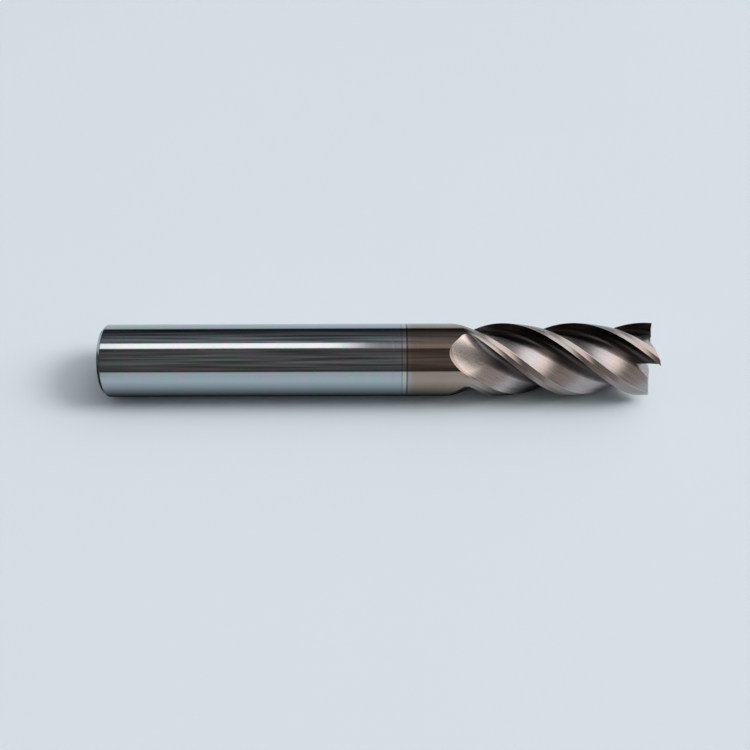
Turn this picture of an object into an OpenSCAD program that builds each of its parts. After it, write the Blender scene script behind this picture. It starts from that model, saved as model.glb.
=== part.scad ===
// Four-flute square end mill of solid carbide: ground shank, coated neck, helical flutes, centre-cutting end.
// The tool lies along +X. The origin is the centre of the shank's back face, and the end teeth point to +X.
// A section is drawn in the YZ plane, with angles counted from +Y towards +Z. One cutting edge of the
// section lies on its +Y axis, the flute is ahead of it (greater angle) and the land is behind it.

/* [Overall] */
// Diameter over the teeth, which is also the shank's diameter
mill_d = 10; // [9:0.5:11]
// Length over all
mill_l = 75; // [70:1:120]
// Length of the cutting edges
flute_l = 25; // [20:0.5:26]
// Length over which the cutting edges rise to their full radius
edge_rise_l = 4; // [3:0.1:5]
// Length over which the floor of a flute comes up to the surface
runout_l = 4.9; // [4:0.1:6]
// Slant of the run-outs, as how much farther back they reach at one radian ahead of the cutting edge
runout_slant = 3.5; // [2.5:0.1:4]
// Length over which the lands fade out behind the cutting edges
land_fade_l = 2.6; // [1:0.1:4]
// Length of the coated front part
coated_l = 33.5; // [32:0.5:45]
// Length over which the coating thins out to bare carbide
coating_edge_l = 0.9; // [0.3:0.1:3]
// Chamfer round the shank's back face
back_chamfer = 0.5; // [0.1:0.1:1]

/* [Helix] */
// Number of teeth
teeth = 4; // [4]
// Helix angle of the cutting edges, right hand
helix_angle = 39; // [30:0.5:45]
// Angle of the first tooth's corner at the tip
tip_angle = 136; // [0:1:360]

/* [Tooth section] */
// Radial rake angle of the cutting edges
rake = 8; // [2:1:14]
// Straight length of the rake face below the cutting edge
rake_flat = 0.6; // [0.3:0.1:0.9]
// Radius of the hook at the foot of the rake face
hook_r = 1.1; // [0.8:0.05:1.4]
// Radius of the bulging back of the tooth
back_r = 12; // [8:0.5:20]
// Width of the primary relief
primary_w = 0.8; // [0.4:0.05:1]
// Angle of the primary relief
primary_relief = 9; // [6:1:14]
// Width of the secondary relief
secondary_w = 0.95; // [0.5:0.05:1.2]
// Angle of the secondary relief
secondary_relief = 25; // [18:1:30]

/* [End teeth] */
// Dish of the end cutting edges towards the centre
dish = 2; // [1:0.5:4]
// Angle of the end teeth's primary relief
end_primary_relief = 8; // [5:1:12]
// Angle of the end teeth's secondary relief
end_secondary_relief = 20; // [15:1:28]
// Width of the end teeth's primary relief
end_primary_w = 0.7; // [0.4:0.1:1]
// Angle at which a gash falls away from the centre
gash_fall = 30; // [20:1:40]
// Angle at which the floor of a gash climbs to the next tooth
gash_climb = 40; // [35:1:55]
// Depth of a long tooth's gash at the centre
long_gash_depth = 0.9; // [0.5:0.1:1.2]
// Depth of a short tooth's gash at the centre
short_gash_depth = 0.45; // [0.2:0.05:0.6]

/* [Facets] */
// Spacing of the swept sections along the tool
ring_step = 0.5; // [0.4:0.1:1]
// Facets of the hook arc
hook_facets = 7; // [4:1:10]
// Facets of the tooth back
back_facets = 7; // [5:1:10]

/* [Hidden] */

mill_r = mill_d / 2;
tooth_pitch = 360 / teeth;
lead = PI * mill_d / tan(helix_angle);
flute_start = mill_l - flute_l + edge_rise_l;
coating_start = mill_l - coated_l;
edge_start = coating_start - coating_edge_l;
land_begin = mill_l - flute_l - 1.4;
round_facets = 96;
// How far a cutter reaches past the surface that it cuts
reach = 2;
// Distance from the centre at which a gash begins: a long tooth's crosses the centre, a short one's stops short
gash_start = [-0.1, 0.35];
// Facet of the tooth back at which the core ends and the tooth begins
core_facet = 3;
// Length of whole cylinder between the neck and the first trace of the run-outs
runout_margin = 0.2;
// Least lift and least depth of cut in the run-out
least_lift = 0.03;
least_trace = 0.01;
// Facets of one pitch of the run-out: in the flute, on the secondary relief, and on to the next flute
runout_facets = 26;
secondary_facets = 4;
rim_facets = 6;
// Sections along the run-out
runout_rings = 22;
// Places along the outline at which the run-out looks for its first trace
trace_samples = 60;

function unit(angle) = [cos(angle), sin(angle)];
function heading(p) = atan2(p.y, p.x);
function turned(p, angle) = norm(p) * unit(heading(p) + angle);
function steps(from, to, count) = [for (i = [0:count]) from + (to - from) * i / count];

// Land of the tooth whose cutting edge is on the +Y axis
edge = [mill_r, 0];
primary_end = edge - primary_w * [sin(primary_relief), cos(primary_relief)];
heel = primary_end - secondary_w * [sin(secondary_relief), cos(secondary_relief)];

// Flute ahead of the same tooth: rake face, hook arc, then the bulging back of the next tooth
next_heel = turned(heel, tooth_pitch);
rake_end = edge - rake_flat * unit(rake);
hook_centre = rake_end + hook_r * [-sin(rake), cos(rake)];
to_heel = next_heel - hook_centre;
radius_sum = back_r + hook_r;
join_cos = (radius_sum * radius_sum + to_heel * to_heel - back_r * back_r) / (2 * radius_sum * norm(to_heel));
join_angle = heading(to_heel) + acos(join_cos);
back_centre = hook_centre + radius_sum * unit(join_angle);
heel_angle = heading(back_centre - next_heel);
hook_sweep = (rake + 270) - join_angle;
back_sweep = (heel_angle - join_angle + 720) % 360;
hook_arc = [for (i = [0:hook_facets]) hook_centre + hook_r * unit(rake + 270 - hook_sweep * i / hook_facets)];
back_arc = [for (i = [1:back_facets]) back_centre - back_r * unit(join_angle + back_sweep * i / back_facets)];
floor_arc = [for (i = [0:core_facet - 1]) back_arc[i]];
rise_arc = [for (i = [core_facet - 1:back_facets - 1]) back_arc[i]];
core_corner = hook_arc[hook_facets];

// Ways along the flute's outline at which its stretches begin, a way on its side towards the next land and one
// past the surface
hook_len = hook_r * hook_sweep * PI / 180;
back_len = back_r * back_sweep * PI / 180;
hook_begin = rake_flat;
back_begin = hook_begin + hook_len;
land_side = back_begin + 0.75 * back_len;
far_way = back_begin + 1.5 * back_len;
flute_depth = mill_r - (norm(hook_centre) - hook_r);

// One tooth, from the top of its back over the land, down the rake face and along its seat on the core
tooth_shape = concat(
    [for (p = rise_arc) turned(p, -tooth_pitch)],
    [primary_end, edge],
    hook_arc
);
// The web in the middle: flute floors joined by the flat seats of the teeth
core_shape = [for (k = [0:teeth - 1], p = concat([core_corner], floor_arc)) turned(p, k * tooth_pitch)];

function spin_at(x) = tip_angle + 360 * (x - mill_l) / lead;
function ring(shape, x, turn) = [
    for (p = shape)
        let (q = turned(p, spin_at(x) + turn))
            [x, q.x, q.y]
];

// Flute at a way along its outline: rake face, hook arc and bulging back, which goes on past the heel
function cut_at(way) =
    way < hook_begin ? edge - way * unit(rake)
    : way < back_begin ? hook_centre + hook_r * unit(rake + 270 - hook_sweep * (way - hook_begin) / hook_len)
    : back_centre - back_r * unit(join_angle + back_sweep * (way - back_begin) / back_len);

// Radius of the land at an angle behind its cutting edge. The land fades out towards the shank
function plane_radius(p, slope, behind) = norm(p) * cos(heading(p) + slope) / cos(behind - slope);
function land_share(x) = min(1, max(0, (x - land_begin) / land_fade_l));
function land_radius(x, behind) = let (
        primary = plane_radius(edge, primary_relief, behind),
        secondary = plane_radius(primary_end, secondary_relief, behind)
    )
    behind < 0 ? mill_r : mill_r - land_share(x) * (mill_r - min(primary, secondary));

// How far the wheel has come out of the flute, at a station and an angle ahead of the cutting edge. The surface
// falls away under the wheel on the side of the cutting edge, so it came out there first.
function lift_at(x, ahead) = let (
        full_at = flute_start - runout_slant * pow(max(0, ahead) * PI / 180, 1.5),
        share = max(0, full_at - x) / runout_l
    )
    max(least_lift, flute_depth * share * share);

// Height of the lifted flute over the surface, at a way along its outline
function height_at(x, way) = let (p = cut_at(way), ahead = heading(p))
    norm(p) + lift_at(x, ahead) - (way < land_side ? mill_r : land_radius(x, tooth_pitch - ahead));

// First station at which a trace of the flutes is on the surface
sample_ways = [for (i = [1:trace_samples - 1]) far_way * i / trace_samples];
function trace_begin(p) = flute_start
    - runout_slant * pow(max(0, heading(p)) * PI / 180, 1.5)
    - runout_l * sqrt(max(0, mill_r - norm(p)) / flute_depth);
runout_start = min([for (way = sample_ways) trace_begin(cut_at(way))]);

// Way at which the lifted flute crosses the surface, halving between a way outside it and a way inside it
function crossing(x, sunk, outside, inside, rounds = 24) = let (middle = (outside + inside) / 2)
    rounds == 0 ? middle
    : height_at(x, middle) > sunk ? crossing(x, sunk, middle, inside, rounds - 1)
    : crossing(x, sunk, outside, middle, rounds - 1);

// One tooth pitch of the section in the run-out: the flute as far as it lies below the surface, then the land
// and the cylinder up to the next flute. Where there is no trace yet, the flute is sunk by a trace, so that no
// facet of the run-out shrinks to nothing.
function runout_pitch(x) = let (
        heights = [for (way = sample_ways) height_at(x, way)],
        lowest = min(heights),
        inside = sample_ways[search(lowest, heights)[0]],
        sunk = max(0, lowest + least_trace),
        first = crossing(x, sunk, 0, inside),
        last = crossing(x, sunk, far_way, inside),
        cut = [
            for (i = [0:runout_facets])
                let (p = cut_at(first + (last - first) * i / runout_facets), ahead = heading(p))
                    (norm(p) + lift_at(x, ahead) - sunk) * unit(ahead)
        ],
        bend = tooth_pitch + heading(primary_end),
        headings = concat(
            steps(heading(cut[runout_facets]), bend, secondary_facets),
            steps(bend, heading(cut[0]) + tooth_pitch, rim_facets)
        )
    )
    concat(cut, [for (i = [1:len(headings) - 2]) if (i != secondary_facets)
        land_radius(x, tooth_pitch - headings[i]) * unit(headings[i])]);
function runout_ring(x) = [
    for (k = [0:teeth - 1], p = runout_pitch(x))
        let (radius = x < runout_start ? mill_r : norm(p), q = radius * unit(heading(p) + spin_at(x) + k * tooth_pitch))
            [x, q.x, q.y]
];
// Sections of the run-out, closest together where its traces open fastest
runout_steps = [
    for (i = [0:runout_rings]) runout_start + (flute_start - runout_start) * pow(i / runout_rings, 1.5)
];

// Closed skin over rings with equally many points, split along each quad's shorter diagonal
module skin(rings) {
    count = len(rings[0]);
    last = len(rings) - 1;
    points = [for (r = rings, p = r) p];
    sides = [
        for (i = [0:last - 1], j = [0:count - 1])
            let (
                a = i * count + j,
                b = i * count + (j + 1) % count,
                c = a + count,
                d = b + count
            )
                each norm(points[c] - points[b]) < norm(points[a] - points[d])
                    ? [[a, c, b], [b, c, d]]
                    : [[a, c, d], [a, d, b]]
    ];
    caps = [
        [for (j = [0:count - 1]) j],
        [for (j = [count - 1:-1:0]) last * count + j]
    ];
    polyhedron(points = points, faces = concat(caps, sides), convexity = 10);
}

module fluted(shape, turn) {
    count = ceil((mill_l - flute_start) / ring_step);
    skin([for (x = steps(flute_start, mill_l, count)) ring(shape, x, turn)]);
}

// Straight cylinder along the tool
module rod(from, to, $fn = round_facets) {
    translate([from, 0, 0])
        rotate([0, 90, 0])
            cylinder(h = to - from, r = mill_r);
}

// Everything in front of a sloping plane, over the quarter of the end behind a tooth.
// height(out, ahead) is offset + out * out_slope + ahead * ahead_slope
module front_of_plane(offset, out_slope, ahead_slope) {
    side = mill_r + reach;
    corners = [[0, 0], [side, 0], [side, -side], [0, -side]];
    low = [for (c = corners) [mill_l + offset + c.x * out_slope + c.y * ahead_slope, c.x, c.y]];
    high = [for (c = corners) [mill_l + reach, c.x, c.y]];
    polyhedron(
        points = concat(low, high),
        faces = [[3, 2, 1, 0], [4, 5, 6, 7], [0, 1, 5, 4], [1, 2, 6, 5], [2, 3, 7, 6], [3, 0, 4, 7]]
    );
}

module end_relief() {
    hollow = mill_r * tan(dish);
    knee = end_primary_w * (tan(end_secondary_relief) - tan(end_primary_relief));
    front_of_plane(-hollow, tan(dish), tan(end_primary_relief));
    front_of_plane(-hollow + knee, tan(dish), tan(end_secondary_relief));
}

// Notch ahead of an end tooth: one wall is the end rake face, the floor falls outwards and climbs ahead
module gash(start, depth) {
    outside = mill_r + reach;
    low_in = mill_l - depth;
    low_out = low_in - (outside - start) * tan(gash_fall);
    top = mill_l + reach;
    polyhedron(
        points = [
            [low_in, start, 0],
            [low_out, outside, 0],
            [top, start, 0],
            [top, outside, 0],
            [top, start, (top - low_in) / tan(gash_climb)],
            [top, outside, (top - low_out) / tan(gash_climb)]
        ],
        faces = [[2, 3, 1, 0], [1, 5, 4, 0], [4, 5, 3, 2], [4, 2, 0], [3, 5, 1]]
    );
}

module end_cutters() {
    for (k = [0:teeth - 1]) {
        rotate([tip_angle + k * tooth_pitch, 0, 0]) {
            end_relief();
            gash(gash_start[k % 2], k % 2 == 0 ? long_gash_depth : short_gash_depth);
        }
    }
}

module ground_end() {
    resize([0, 0, 0])
        difference() {
            children();
            end_cutters();
        }
}

// Bare, ground cylinder with a chamfered back face
module shank() {
    color([0.62, 0.64, 0.66]) {
        rod(back_chamfer, edge_start);
        rotate([0, 90, 0])
            cylinder(h = back_chamfer, r1 = mill_r - back_chamfer, r2 = mill_r, $fn = round_facets);
    }
}

// Ring-shaped zone in which the coating thins out
module coating_edge() {
    color([0.55, 0.5, 0.42])
        rod(edge_start, coating_start);
}

// Coated cylinder between the shank and the flutes
module neck() {
    color([0.5, 0.4, 0.35])
        rod(coating_start, runout_start - runout_margin);
}

// Where the wheel left the flutes: their floors rise to the surface
module flute_runout() {
    color([0.5, 0.38, 0.32])
        skin([for (x = concat([runout_start - runout_margin], runout_steps)) runout_ring(x)]);
}

// Web of the fluted part, open to the flutes along their floors
module core() {
    color([0.56, 0.44, 0.38])
        ground_end()
            fluted(core_shape, 0);
}

// Helical tooth with its end tooth
module tooth(index) {
    color([0.46, 0.35, 0.3])
        ground_end()
            fluted(tooth_shape, (index - 1) * tooth_pitch);
}

shank();
coating_edge();
neck();
flute_runout();
core();
tooth(1);  // tooth_1
tooth(2);  // tooth_2
tooth(3);  // tooth_3
tooth(4);  // tooth_4
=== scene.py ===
"""Finished look of a four-flute end mill: ground carbide shank, coated front and helical teeth.

Lengths are in metres in the CAD frame. +X runs from the shank's back face to the end teeth and +Z is up.
A section across the tool is a plane of complex numbers: the real part is Y and the imaginary part is Z.
"""

import cmath
import logging
import math
from dataclasses import dataclass, field
from enum import Enum
from typing import Optional, Sequence

import bmesh
import bpy
from mathutils import Matrix, Vector


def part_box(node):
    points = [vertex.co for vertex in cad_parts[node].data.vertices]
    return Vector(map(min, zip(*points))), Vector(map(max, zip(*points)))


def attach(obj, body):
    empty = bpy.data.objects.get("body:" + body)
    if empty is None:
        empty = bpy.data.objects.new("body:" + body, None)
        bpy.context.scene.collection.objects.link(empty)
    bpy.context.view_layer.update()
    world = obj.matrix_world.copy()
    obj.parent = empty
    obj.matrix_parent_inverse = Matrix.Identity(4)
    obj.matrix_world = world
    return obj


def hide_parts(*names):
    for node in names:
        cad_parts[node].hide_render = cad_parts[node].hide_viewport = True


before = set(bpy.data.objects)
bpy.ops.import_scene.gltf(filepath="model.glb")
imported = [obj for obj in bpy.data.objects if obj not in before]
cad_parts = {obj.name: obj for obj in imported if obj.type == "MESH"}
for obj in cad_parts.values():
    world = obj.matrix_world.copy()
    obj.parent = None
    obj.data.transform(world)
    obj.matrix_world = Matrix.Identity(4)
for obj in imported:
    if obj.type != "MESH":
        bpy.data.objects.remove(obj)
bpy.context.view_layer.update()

MM = 0.001
MICRON = 1e-6
BODY = "root"
LOG = logging.getLogger("end_mill")
Ring = list[complex]
Colour = tuple[float, float, float]
Span = tuple[float, float]


class Slot(Enum):
    """Material slots of the record."""

    GROUND = "ground_carbide"
    COATING_EDGE = "coating_edge"
    COATED = "coated_carbide"
    FLUTE = "coated_flute"
    TOOTH = "coated_tooth"


# ---------------------------------------------------------------- sizes


@dataclass(frozen=True)
class ToolSizes:
    """Stations along the tool and its radius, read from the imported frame."""

    radius: float
    back: float
    edge_start: float
    coating_start: float
    runout_node_start: float
    flute_start: float
    tip: float
    back_chamfer: float = 0.5 * MM
    runout_margin: float = 0.2 * MM

    @classmethod
    def from_frame(cls) -> "ToolSizes":
        """Read the stations from the CAD nodes' boxes.

        Returns:
            The sizes that every sub-assembly shares.
        """
        shank_low, shank_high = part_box("shank")
        band_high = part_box("coating_edge")[1]
        runout_low, runout_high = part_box("flute_runout")
        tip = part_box("tooth_1")[1].x
        return cls(
            radius=(shank_high.z - shank_low.z) / 2,
            back=shank_low.x,
            edge_start=shank_high.x,
            coating_start=band_high.x,
            runout_node_start=runout_low.x,
            flute_start=runout_high.x,
            tip=tip,
        )

    @property
    def runout_start(self) -> float:
        """Station of the run-outs' first trace."""
        return self.runout_node_start + self.runout_margin


@dataclass(frozen=True)
class Helix:
    """Right-hand helix of the flutes."""

    radius: float
    tip: float
    angle: float = math.radians(39)
    tip_turn: float = math.radians(136)

    @property
    def lead(self) -> float:
        """Advance for one turn."""
        return math.tau * self.radius / math.tan(self.angle)


def unit(angle: float) -> complex:
    """Point of the unit circle at an angle."""
    return cmath.rect(1.0, angle)


@dataclass(frozen=True)
class ToothSection:
    """Outline of the fluted section over one pitch, from a cutting edge on the +Y axis to the next one."""

    radius: float
    teeth: int = 4
    rake: float = math.radians(8)
    rake_flat: float = 0.6 * MM
    hook_radius: float = 1.1 * MM
    back_radius: float = 12 * MM
    primary_width: float = 0.8 * MM
    primary_relief: float = math.radians(9)
    secondary_width: float = 0.95 * MM
    secondary_relief: float = math.radians(25)

    @property
    def pitch(self) -> float:
        """Angle from tooth to tooth."""
        return math.tau / self.teeth

    @property
    def edge(self) -> complex:
        """Cutting edge."""
        return complex(self.radius, 0)

    @property
    def primary_end(self) -> complex:
        """Far end of the primary relief behind the cutting edge."""
        slope = complex(math.sin(self.primary_relief), math.cos(self.primary_relief))
        return self.edge - self.primary_width * slope

    @property
    def heel(self) -> complex:
        """Far end of the secondary relief."""
        slope = complex(math.sin(self.secondary_relief), math.cos(self.secondary_relief))
        return self.primary_end - self.secondary_width * slope

    @property
    def hook_centre(self) -> complex:
        """Centre of the hook arc at the foot of the rake face."""
        return self.edge - self.rake_flat * unit(self.rake) + self.hook_radius * 1j * unit(self.rake)

    @property
    def join_angle(self) -> float:
        """Angle, about both centres, at which the hook arc passes into the bulging back."""
        to_heel = self.heel * unit(self.pitch) - self.hook_centre
        both = self.back_radius + self.hook_radius
        reach = abs(to_heel)
        cosine = (both**2 + reach**2 - self.back_radius**2) / (2 * both * reach)
        return cmath.phase(to_heel) + math.acos(cosine)

    @property
    def back_centre(self) -> complex:
        """Centre of the bulging back's arc."""
        return self.hook_centre + (self.back_radius + self.hook_radius) * unit(self.join_angle)

    @property
    def hook_sweep(self) -> float:
        """Angle that the hook arc turns through."""
        return self.rake + 1.5 * math.pi - self.join_angle

    @property
    def back_sweep(self) -> float:
        """Angle that the bulging back turns through."""
        heel_angle = cmath.phase(self.back_centre - self.heel * unit(self.pitch))
        return (heel_angle - self.join_angle) % math.tau

    @property
    def stations(self) -> tuple[float, ...]:
        """Ways along the outline at which its five stretches begin, and its whole length."""
        lengths = (
            self.rake_flat,
            self.hook_radius * self.hook_sweep,
            self.back_radius * self.back_sweep,
            self.secondary_width,
            self.primary_width,
        )
        ways = [0.0]
        for length in lengths:
            ways.append(ways[-1] + length)
        return tuple(ways)

    @property
    def floor_radius(self) -> float:
        """Least radius of the flute floor."""
        return abs(self.hook_centre) - self.hook_radius

    def at(self, way: float) -> complex:
        """Point of the outline.

        Args:
            way: distance along the outline from the cutting edge.

        Returns:
            The point, with the next tooth's land turned on by one pitch.
        """
        _, hook, back, land, primary, _ = self.stations
        if way < hook:
            return self.edge - way * unit(self.rake)
        if way < back:
            angle = self.rake + 1.5 * math.pi - (way - hook) / self.hook_radius
            return self.hook_centre + self.hook_radius * unit(angle)
        if way < land:
            return self.back_centre - self.back_radius * unit(self.join_angle + (way - back) / self.back_radius)
        onward = unit(self.pitch)
        if way < primary:
            share = (way - land) / self.secondary_width
            return (self.heel + (self.primary_end - self.heel) * share) * onward
        share = (way - primary) / self.primary_width
        return (self.primary_end + (self.edge - self.primary_end) * share) * onward

    def stretch(self, start: float, end: float, step: float) -> Ring:
        """Points from one way to another that keep every corner between them.

        Args:
            start: way of the first point.
            end: way of the last point.
            step: greatest spacing.

        Returns:
            The points, both ends included.
        """
        stops = [start] + [way for way in self.stations if start < way < end] + [end]
        ways = [start]
        for low, high in zip(stops, stops[1:]):
            count = max(1, math.ceil((high - low) / step))
            ways += [low + (high - low) * i / count for i in range(1, count + 1)]
        return [self.at(min(way, self.stations[-1])) for way in ways]

    def flute_at(self, way: float) -> complex:
        """Point of the flute's outline, whose bulging back goes on past the heel."""
        back = self.stations[2]
        if way < back:
            return self.at(way)
        return self.back_centre - self.back_radius * unit(self.join_angle + (way - back) / self.back_radius)

    def land_radius(self, behind: float) -> float:
        """Radius of the land at an angle behind its cutting edge."""
        if behind < 0:
            return self.radius
        primary = self.radius * math.cos(self.primary_relief) / math.cos(behind - self.primary_relief)
        slope = self.secondary_relief + cmath.phase(self.primary_end)
        secondary = abs(self.primary_end) * math.cos(slope) / math.cos(behind - self.secondary_relief)
        return min(primary, secondary)


def hone(ring: Ring, corner: complex, size: float) -> Ring:
    """Round one sharp corner of a closed ring.

    Args:
        ring: the section's points in order.
        corner: the point to round, which is in the ring.
        size: distance from the corner at which the rounding starts on both sides.

    Returns:
        The ring with the corner's point replaced by a short arc.
    """
    index = min(range(len(ring)), key=lambda i: abs(ring[i] - corner))
    before = ring[index - 1] - corner
    after = ring[(index + 1) % len(ring)] - corner
    start = corner + before / abs(before) * size
    end = corner + after / abs(after) * size
    shares = (0.0, 0.25, 0.5, 0.75, 1.0)
    arc = [(1 - s) ** 2 * start + 2 * s * (1 - s) * corner + s**2 * end for s in shares]
    return ring[:index] + arc + ring[index + 1 :]


# ---------------------------------------------------------------- node helpers

Socket = bpy.types.NodeSocket
Tree = bpy.types.NodeTree
Node = bpy.types.Node
GEOMETRY, VECTOR, FLOAT = "NodeSocketGeometry", "NodeSocketVector", "NodeSocketFloat"


class Graph:
    """A node tree with short calls for adding and linking nodes."""

    def __init__(self, tree: Tree) -> None:
        """Wrap a tree and empty it."""
        self.tree = tree
        tree.nodes.clear()

    def feed(self, socket: Socket, value: object) -> None:
        """Link another socket into a socket, or set its value."""
        if isinstance(value, Socket):
            self.tree.links.new(value, socket)
        else:
            socket.default_value = (*value, 1) if socket.type == "RGBA" else value

    def add(self, kind: str, inputs: Optional[dict] = None, **settings: object) -> Node:
        """Add a node.

        Args:
            kind: the node's type.
            inputs: socket name or index to a value or to another node's output.
            **settings: the node's own properties.

        Returns:
            The node.
        """
        node = self.tree.nodes.new(kind)
        for name, value in settings.items():
            setattr(node, name, value)
        for name, value in (inputs or {}).items():
            self.feed(node.inputs[name], value)
        return node

    def give(self, result: Node, *values: Socket) -> Tree:
        """Link sockets to a group's output node in order, and take the group."""
        for socket, value in zip(result.inputs, values):
            self.feed(socket, value)
        return self.tree

    def math(self, operation: str, *values: object) -> Socket:
        """Result of a Math node on values or sockets."""
        return self.add("ShaderNodeMath", dict(enumerate(values)), operation=operation).outputs[0]

    def product(self, first: object, *others: object) -> Socket:
        """Product of values or sockets."""
        for other in others:
            first = self.math("MULTIPLY", first, other)
        return first

    def inverse(self, value: object) -> Socket:
        """One less a value."""
        return self.math("SUBTRACT", 1.0, value)

    def vector(self, operation: str, *values: object, output: str = "Vector") -> Socket:
        """Result of a Vector Math node on values or sockets."""
        return self.add("ShaderNodeVectorMath", dict(enumerate(values)), operation=operation).outputs[output]

    def parts(self, vector: Socket) -> Sequence[Socket]:
        """The three numbers of a vector."""
        return self.add("ShaderNodeSeparateXYZ", {0: vector}).outputs

    def noise(self, vector: Socket, scale: object, detail: float = 2.0, **others: float) -> Sequence[Socket]:
        """Value and colour of a noise."""
        inputs = {"Vector": vector, "Scale": scale, "Detail": detail, **others}
        return self.add("ShaderNodeTexNoise", inputs).outputs

    def turned(self, vector: Socket, angle: Socket) -> Socket:
        """A place turned about the X axis."""
        inputs = {"Vector": vector, "Angle": angle}
        return self.add("ShaderNodeVectorRotate", inputs, rotation_type="X_AXIS").outputs[0]

    def ramp(self, factor: object, stops: Sequence[tuple[float, float]]) -> Socket:
        """Value that follows stops of (position, value) along a factor."""
        node = self.add("ShaderNodeValToRGB", {"Fac": factor})
        elements = node.color_ramp.elements
        while len(elements) < len(stops):
            elements.new(0.5)
        for element, (position, value) in zip(elements, stops):
            element.position = position
            element.color = (value, value, value, 1)
        return node.outputs[0]

    def mix(self, factor: object, first: object, second: object) -> Socket:
        """Mix of two colours or sockets."""
        return self.add("ShaderNodeMix", {0: factor, 6: first, 7: second}, data_type="RGBA").outputs[2]

    def blend(self, factor: object, first: object, second: object) -> Socket:
        """Mix of two values or sockets."""
        return self.add("ShaderNodeMix", {0: factor, 2: first, 3: second}, data_type="FLOAT").outputs[0]

    def smoothstep(self, value: object, low: object, high: object) -> Socket:
        """Smooth rise from 0 to 1 while a value goes from low to high."""
        inputs = {"Value": value, "From Min": low, "From Max": high}
        return self.add("ShaderNodeMapRange", inputs, interpolation_type="SMOOTHSTEP").outputs["Result"]

    def between(self, value: Socket, low: float, high: float, soft: float) -> Socket:
        """Mask of the values between two limits, with soft borders."""
        below = self.inverse(self.smoothstep(value, high - soft, high + soft))
        return self.product(self.smoothstep(value, low - soft, low + soft), below)


def group_tree(
    name: str, inputs: dict[str, object], outputs: dict[str, str], kind: str = "ShaderNodeTree"
) -> tuple[Graph, Node, Node]:
    """Start a node group with named sockets.

    Args:
        name: the group's name.
        inputs: name to a default number, or to a socket type.
        outputs: name to a socket type.
        kind: ShaderNodeTree or GeometryNodeTree.

    Returns:
        The graph, its input node and its output node.
    """
    tree = bpy.data.node_groups.new(name, kind)
    for label, default in inputs.items():
        if isinstance(default, str):
            tree.interface.new_socket(label, in_out="INPUT", socket_type=default)
            continue
        socket = "NodeSocketInt" if isinstance(default, int) else FLOAT
        tree.interface.new_socket(label, in_out="INPUT", socket_type=socket).default_value = default
    for label, socket in outputs.items():
        tree.interface.new_socket(label, in_out="OUTPUT", socket_type=socket)
    graph = Graph(tree)
    return graph, graph.add("NodeGroupInput"), graph.add("NodeGroupOutput")


# ---------------------------------------------------------------- geometry nodes


class SweepKind(Enum):
    """What a helix tree does with its geometry."""

    SECTION = "sweep one section along the helix"
    LOFT = "turn a straight loft about the axis"


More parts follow.
